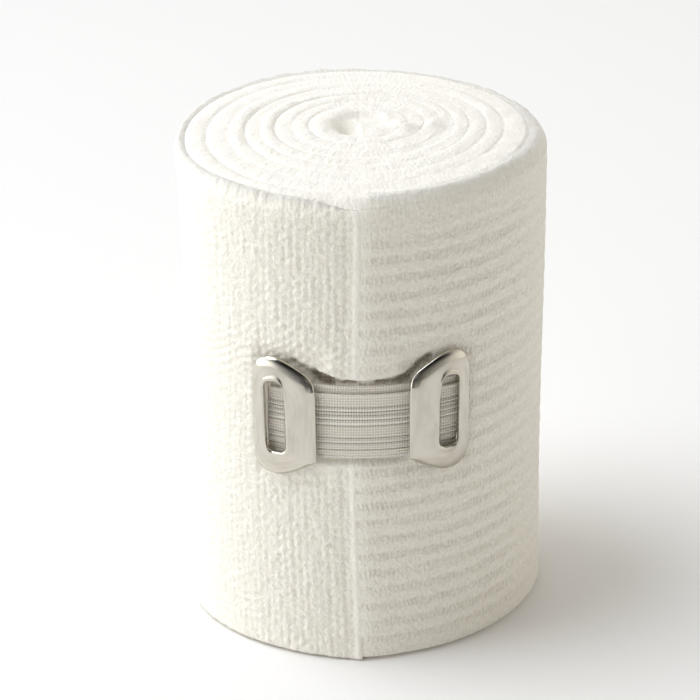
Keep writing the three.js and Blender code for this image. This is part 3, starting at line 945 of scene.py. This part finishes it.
def math_node(tree, operation, first, second=None, third=None):
    node = tree.nodes.new("ShaderNodeMath")
    node.operation = operation
    for slot, value in enumerate((first, second, third)):
        if value is None:
            continue
        if isinstance(value, (int, float)):
            node.inputs[slot].default_value = value
        else:
            tree.links.new(value, node.inputs[slot])
    return node.outputs[0]


# Random patterns: width and height of a spot in millimetres, detail and seed
SPOTS = {
    "drift": (1.5, 1.3, 2, 1), "shift": (2.2, 1.5, 2, 2), "stroke": (0.9, 1.2, 1, 3),
    "fibre": (0.32, 0.45, 3, 4), "loops": (0.55, 0.8, 1, 5), "row": (9, 4, 1, 6),
    "tuft": (0.5, 0.45, 2, 7),
    "weft_drift": (0.9, 0.5, 2, 1), "web_fibre": (0.2, 0.12, 2, 2),
    "brushed": (0.15, 3.0, 3, 1), "cloudy": (4, 3, 2, 2),
}

# Smooth steps: where each begins and ends, and its strengths there. Places on the map are in
# millimetres
STEPS = {
    "row_crest": (0.25, 0.9, 0, 1), "row_drawn": (0, 1, 0.2, 1), "row_patches": (0.3, 0.6, 0.6, 1),
    "row_foot": (1.5, 4, 0, 1), "row_top": (72.5, 66, 0, 1), "row_fade": (20, 36, 1, 0.3),
    "stroke_patches": (0.3, 0.6, 0, 1), "stroke_rows": (0, 1, 0.5, 1), "teeth": (72.5, 74.5, 0, 1),
    "plush": (73, 75, 1, 0.85), "loop_height": (0, 1, 0.15, 0.24), "loop_shade": (0, 1, 0.4, 0.6),
    "top_painted_shade": (73.7, 75.3, 0, 0.62), "core_painted_shade": (77.5, 79, 1, 0.25),
    "hollow": (0.15, 1.15, 0, 1), "hollow_edge": (0.02, 0.4, 0, 1), "hollow_cover": (0, 0.5, 1, 0),
    "painted_light_past_ridge": (0.1, 2.2, 0.65, 0),
    "cord": (0.15, 0.8, 0, 1), "groove": (-0.15, -0.8, 0, 1), "groove_dots": (0.1, 0.9, 0.95, 0.35),
    "brushed": (0.3, 0.7, 0.10, 0.15), "cloudy": (0.35, 0.65, 0, 0.05), "dull": (0.35, 0.7, 0, 1),
}
NOISE_MIDDLE = 0.45

# Colours, sizes of the stitches in millimetres, and heights in millimetres and strengths of shade
CREPE = {
    # The pale edge colour is partly a paler woven edge and partly painted light: a painted highlight on
    # the ridge, and painted light just past it
    "light": (0.955, 0.915, 0.82), "deep": (0.60, 0.54, 0.43), "selvedge_and_painted_light": (1.0, 0.955, 0.86),
    # "end" is painted shade that darkens the top of the roll where the light from above falls on it
    # "hollow" is the dark brown of the painted shade inside the folds
    "end": (0.62, 0.60, 0.55), "hollow": (0.25, 0.195, 0.14),
    "stroke": 0.7, "loop": 1.415, "drift": 0.9, "shift": 1.1, "tuft": 0.9, "ridge_edge": 0.4,
    "off_row": 0.2, "stitch_height": 0.17, "fibre_height": 0.17, "tooth_height": 0.03,
    "stitch_shade": 0.34, "fibre_shade": 0.7,
}
WEB = {
    "light": (1.0, 0.97, 0.90), "plain": (0.965, 0.905, 0.80), "groove": (0.16, 0.135, 0.10),
    "weft": 0.4, "warp": 0.42, "drift": 0.25, "fibre_shade": 0.6, "hole_shade": 0.5,
    "weft_height": 0.05, "warp_height": 0.07, "fibre_height": 0.05,
}
NICKEL = {"bright": (0.66, 0.625, 0.545), "dull": (0.58, 0.545, 0.47), "brush_height": 0.0006}


def cloth_material():
    """Crepe: rows of short strokes where it is drawn out, and fine loops where it is relaxed."""
    n = Nodes("crepe_cotton")
    drawn = n.do("SUBTRACT", 1, n.attribute("pattern"))
    low, tooth = cloth_stitches(n, drawn)
    fibre, loops, plush = n.spots("fibre"), n.spots("loops"), n.eased(n.v, "plush")
    grain = n.times(fibre, CREPE["fibre_height"])
    grain = n.plus(grain, n.times(loops, n.eased(drawn, "loop_height")))
    sunk = n.plus(n.times(low, CREPE["stitch_height"]), n.times(grain, plush))
    height = n.do("SUBTRACT", n.times(tooth, CREPE["tooth_height"]), sunk)
    shade = n.times(low, CREPE["stitch_shade"])
    shade = n.plus(shade, n.about(fibre, NOISE_MIDDLE, CREPE["fibre_shade"]))
    shade = n.plus(shade, n.about(loops, NOISE_MIDDLE, n.eased(drawn, "loop_shade")))
    colour = n.mix(n.times(shade, plush), CREPE["light"], CREPE["deep"])
    n.set(
        Base_Color=cloth_colour(n, colour), Roughness=0.95,
        Subsurface_Weight=0.15, Subsurface_Radius=(1, 0.95, 0.85), Subsurface_Scale=0.5 * MM,
        Specular_IOR_Level=0.15, Sheen_Weight=0.25, Sheen_Roughness=0.5, Normal=n.bump(height),
    )
    return n.material


def cloth_stitches(n, drawn):
    """The gaps between the strokes, strongest on the rows, and the teeth of the crests."""
    along = n.plus(n.u, n.about(n.spots("drift"), 0.5, CREPE["drift"]))
    across = n.plus(n.v, n.about(n.spots("shift"), 0.5, CREPE["shift"]))
    above_first = n.do("SUBTRACT", across, ROWS["first"])
    inside = n.times(n.eased(n.v, "row_foot"), n.eased(n.v, "row_top"))
    row = n.eased(n.wave(above_first, ROWS["pitch"]), "row_crest")
    row = n.times(row, n.times(inside, n.eased(drawn, "row_drawn")))
    row = n.times(row, n.times(n.eased(n.spots("row"), "row_patches"), n.eased(n.u, "row_fade")))
    strokes = n.times(n.wave(along, CREPE["stroke"]), n.eased(n.spots("stroke"), "stroke_patches"))
    stitch = n.times(strokes, n.eased(n.wave(above_first, CREPE["loop"]), "stroke_rows"))
    gap = n.times(n.do("SUBTRACT", 1, stitch), drawn)
    low = n.times(gap, n.do("MULTIPLY_ADD", row, 1 - CREPE["off_row"], CREPE["off_row"]))
    return low, n.times(n.wave(along, TEETH["pitch"]), n.eased(n.v, "teeth"))


def cloth_colour(n, colour):
    """The cloth's colour, with painted shade that darkens the top and browns the folds, and pale at the
    loose end: a paler woven edge with a painted highlight on the ridge, and painted light just past it.
    """
    # Painted shade: the top of the roll is darkened where the light from above falls on it, a quarter
    # as much in the core
    painted_top_shade = n.times(n.eased(n.v, "top_painted_shade"), n.eased(n.v, "core_painted_shade"))
    colour = n.mix(painted_top_shade, colour, CREPE["end"])
    # Painted shade: the folds under the strip and the plates are browned, with a tufted edge
    depth = n.attribute("hollow")
    tufted = n.plus(depth, n.about(n.spots("tuft"), 0.5, CREPE["tuft"]))
    hollow = n.times(n.eased(tufted, "hollow"), n.eased(depth, "hollow_edge"))
    colour = n.mix(hollow, colour, CREPE["hollow"])
    # The pale ridge is partly a paler woven edge and partly a painted highlight; just past it, painted
    # light lifts the flank that faces away from the key
    ridge = math.radians(360 - SEAM_RIDGE["width"]) * ROLL_RADIUS
    on_ridge = n.step(n.u, ridge, ridge + CREPE["ridge_edge"])
    pale = n.do("MAXIMUM", on_ridge, n.eased(n.u, "painted_light_past_ridge"))
    return n.mix(n.times(pale, n.eased(hollow, "hollow_cover")), colour, CREPE["selvedge_and_painted_light"])


def webbing_material():
    """Elastic webbing: pale cords, a fine weave between them and dotted dark grooves."""
    n = Nodes("ribbed_webbing")
    pattern = n.attribute("pattern")
    along = n.plus(n.u, n.times(n.spots("weft_drift"), WEB["drift"]))
    weft, warp = n.wave(along, WEB["weft"]), n.wave(n.v, WEB["warp"])
    fibre = n.spots("web_fibre")
    cord, groove = n.eased(pattern, "cord"), n.eased(pattern, "groove")
    dark = n.times(groove, n.eased(weft, "groove_dots"))
    holes = n.times(n.do("SUBTRACT", 1, weft), n.do("SUBTRACT", 1, warp))
    speckle = n.about(fibre, NOISE_MIDDLE, WEB["fibre_shade"])
    speckle = n.plus(speckle, n.times(holes, WEB["hole_shade"]))
    colour = n.mix(cord, WEB["plain"], WEB["light"])
    colour = n.mix(n.do("MAXIMUM", dark, speckle), colour, WEB["groove"])
    warp_between = n.times(warp, n.do("SUBTRACT", 1, cord))
    height = n.times(weft, WEB["weft_height"])
    height = n.plus(height, n.times(warp_between, WEB["warp_height"]))
    height = n.plus(height, n.times(fibre, WEB["fibre_height"]))
    n.set(
        Base_Color=colour, Roughness=0.82, Specular_IOR_Level=0.3, Sheen_Weight=0.1,
        Normal=n.bump(height),
    )
    return n.material


def nickel_material():
    """Polished nickel plate with faint brush marks and a slightly duller, worn patchiness."""
    n = Nodes("polished_nickel")
    brushed, cloudy = n.spots("brushed"), n.spots("cloudy")
    n.set(
        Base_Color=n.mix(n.eased(cloudy, "dull"), NICKEL["bright"], NICKEL["dull"]), Metallic=1,
        Roughness=n.plus(n.eased(brushed, "brushed"), n.eased(cloudy, "cloudy")),
        Normal=n.bump(n.times(brushed, NICKEL["brush_height"])),
    )
    return n.material


# Scene

def add_piece(mesh, material, nodes):
    piece = bpy.data.objects.new(mesh.name, mesh)
    bpy.context.scene.collection.objects.link(piece)
    mesh.materials.append(material)
    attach(piece, "root")
    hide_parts(*nodes)
    return piece


def add_camera():
    data = bpy.data.cameras.new("camera")
    camera = bpy.data.objects.new("camera", data)
    bpy.context.scene.collection.objects.link(camera)
    elevation, roll = math.radians(VIEW["elevation"]), math.radians(VIEW["roll"])
    back = Vector((0, -math.cos(elevation), math.sin(elevation)))
    right = Vector((1, 0, 0))
    up = back.cross(right)
    level_right = right * math.cos(roll) - up * math.sin(roll)
    level_up = right * math.sin(roll) + up * math.cos(roll)
    matrix = Matrix((level_right, level_up, back)).transposed().to_4x4()
    matrix.translation = back * VIEW["distance"] + Vector((0, 0, VIEW["aim_height"]))
    camera.matrix_world = matrix
    data.lens, data.sensor_width = VIEW["lens"], VIEW["sensor"]
    data.shift_x, data.shift_y = VIEW["shift_x"], VIEW["shift_y"]
    data.clip_start = VIEW["near"]
    bpy.context.scene.camera = camera


def add_area_light(name, place_at, aim, size, energy, colour):
    data = bpy.data.lights.new(name, "AREA")
    data.shape, data.size, data.energy, data.color = "DISK", size, energy, colour
    light = bpy.data.objects.new(name, data)
    bpy.context.scene.collection.objects.link(light)
    light.location = place_at
    light.rotation_euler = (Vector(aim) - Vector(place_at)).to_track_quat("-Z", "Y").to_euler()


def add_floor():
    mesh = bpy.data.meshes.new("floor")
    half = FLOOR["half"]
    corners = [(-half, -half, 0), (half, -half, 0), (half, half, 0), (-half, half, 0)]
    mesh.from_pydata(corners, [], [(0, 1, 2, 3)])
    floor = bpy.data.objects.new("floor", mesh)
    bpy.context.scene.collection.objects.link(floor)
    material = bpy.data.materials.new("pale_floor")
    material.use_nodes = True
    shader = material.node_tree.nodes["Principled BSDF"]
    shader.inputs["Base Color"].default_value = (*FLOOR["colour"], 1)
    shader.inputs["Roughness"].default_value = FLOOR["roughness"]
    mesh.materials.append(material)


def add_world():
    """Soft studio: each side has its own brightness below, and one soft top closes it."""
    world = bpy.data.worlds.new("studio")
    bpy.context.scene.world = world
    world.use_nodes = True
    tree = world.node_tree
    background = tree.nodes["Background"]
    axes = tree.nodes.new("ShaderNodeSeparateXYZ")
    tree.links.new(tree.nodes.new("ShaderNodeTexCoord").outputs["Generated"], axes.inputs[0])
    x, y, z = axes.outputs

    def do(operation, *values):
        return math_node(tree, operation, *values)

    sides = [(x, -1, "left"), (x, 1, "right"), (y, -1, "front"), (y, 1, "rear")]
    # Straight up no side is faced, so a tiny reach keeps the division below sound
    glow, reach = 0.0, 0.0001
    for axis, sign, name in sides:
        facing = do("MAXIMUM", do("MULTIPLY", axis, sign), 0)
        share = do("MULTIPLY", facing, facing)
        glow = do("MULTIPLY_ADD", share, SKY[name], glow)
        reach = do("ADD", share, reach)
    ring = do("MULTIPLY", do("DIVIDE", glow, reach), ramp(tree, z, *SKY["overhead"], 1, 0))
    above = ramp(tree, z, *SKY["overhead"], 0, SKY["top"])
    overhead = do("MULTIPLY", above, ramp(tree, y, *SKY["behind"], 0, 1))
    tree.links.new(do("ADD", ring, overhead), background.inputs["Strength"])
    tint = tree.nodes.new("ShaderNodeCombineXYZ")
    for socket, cool, warm in zip(tint.inputs, SKY["cool"], SKY["warm"]):
        tree.links.new(ramp(tree, x, *SKY["tinted"], cool, warm), socket)
    tree.links.new(tint.outputs[0], background.inputs["Color"])


def ramp(tree, value, low, high, start, end):
    """Smooth step of a value from start to end between low and high."""
    node = tree.nodes.new("ShaderNodeMapRange")
    node.interpolation_type = "SMOOTHSTEP"
    tree.links.new(value, node.inputs["Value"])
    for name, number in (("From Min", low), ("From Max", high), ("To Min", start), ("To Max", end)):
        node.inputs[name].default_value = number
    return node.outputs["Result"]


def add_studio():
    add_world()
    add_area_light("key", KEY["place"], KEY["aim"], KEY["size"], KEY["power"], KEY["colour"])
    bpy.context.scene.view_settings.view_transform = "Standard"
    add_floor()


def main():
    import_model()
    add_camera()
    add_studio()
    cloth, webbing, nickel = cloth_material(), webbing_material(), nickel_material()
    add_piece(bandage_surface().mesh("wound_crepe"), cloth, ["bandage_roll"])
    for name, top, out in (
        ("elastic_back_layer", ELASTIC["back_top"], ELASTIC["gap"]),
        ("elastic_front_layer", ELASTIC["front_top"], ELASTIC["layer"] + ELASTIC["gap"]),
    ):
        piece = add_piece(elastic_layer(name, top, out), webbing, ["clip_elastic"])
    for seat in PLATE_SEATS:
        add_piece(plate_surface(seat), nickel, [seat["node"]])


main()
